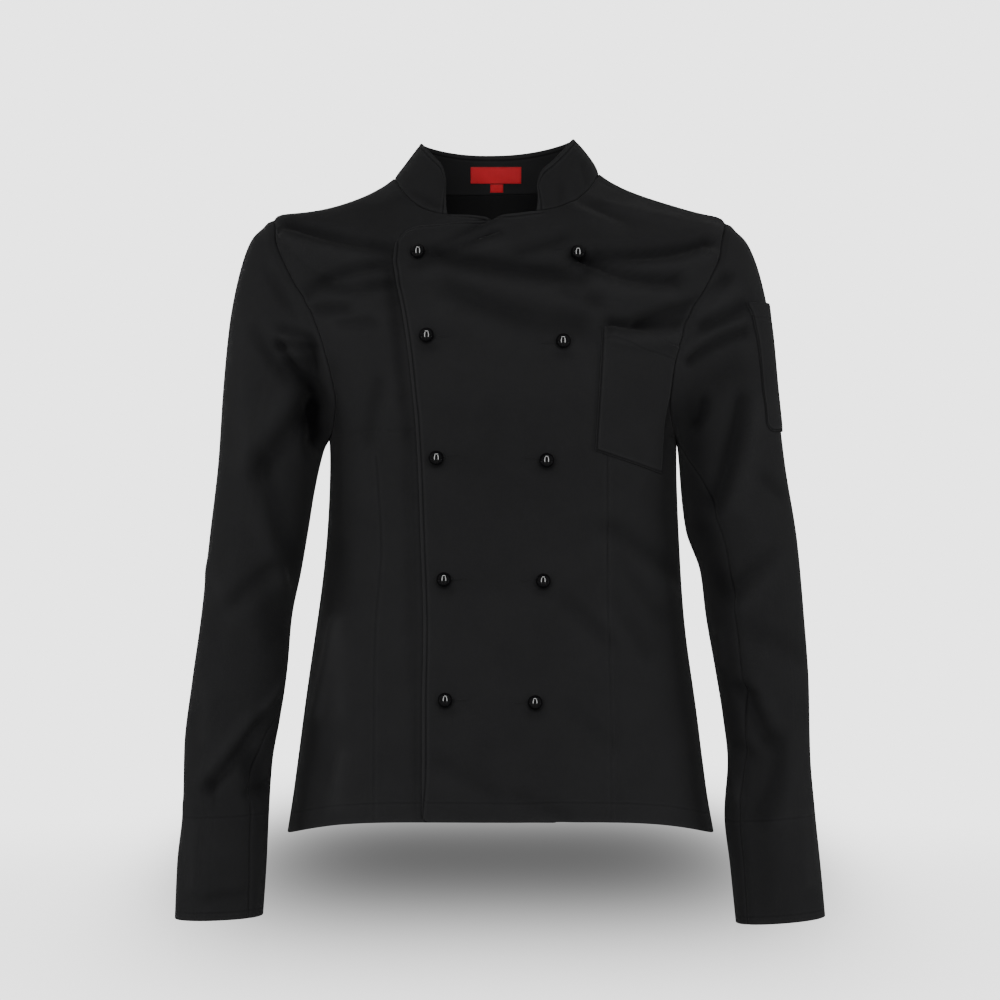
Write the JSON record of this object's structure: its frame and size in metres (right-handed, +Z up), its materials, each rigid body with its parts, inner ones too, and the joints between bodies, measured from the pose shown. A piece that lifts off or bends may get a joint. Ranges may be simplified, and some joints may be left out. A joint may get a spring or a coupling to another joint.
{
  "type": "chef jacket",
  "caption": "Double-breasted chef jacket with a stand collar, long set-in sleeves, ball stud buttons, a chest pocket and a sleeve pen pocket, filled out as when worn.",
  "frame": {"origin": "midway between the shoulders, at the height where the neck meets them, where a wearer's shoulders hold the jacket up", "axes": "+X towards the wearer's left sleeve, +Y towards the back, +Z up"},
  "size_m": [0.582, 0.2493, 0.703],
  "materials": {
    "black_twill": "black cotton twill, matt",
    "black_gloss": "polished black plastic",
    "red_ribbon": "woven red ribbon, bare"
  },
  "bodies": {
    "root": {"front_left": "black_twill", "front_right": "black_twill", "back": "black_twill", "sleeve_left": "black_twill", "sleeve_right": "black_twill", "collar": "black_twill", "chest_pocket": "black_twill", "sleeve_pocket": "black_twill", "label": "red_ribbon", "size_tab": "red_ribbon", "button_left_1": "black_gloss", "button_left_2": "black_gloss", "button_left_3": "black_gloss", "button_left_4": "black_gloss", "button_left_5": "black_gloss", "button_right_1": "black_gloss", "button_right_2": "black_gloss", "button_right_3": "black_gloss", "button_right_4": "black_gloss", "button_right_5": "black_gloss"}
  },
  "joints": []
}
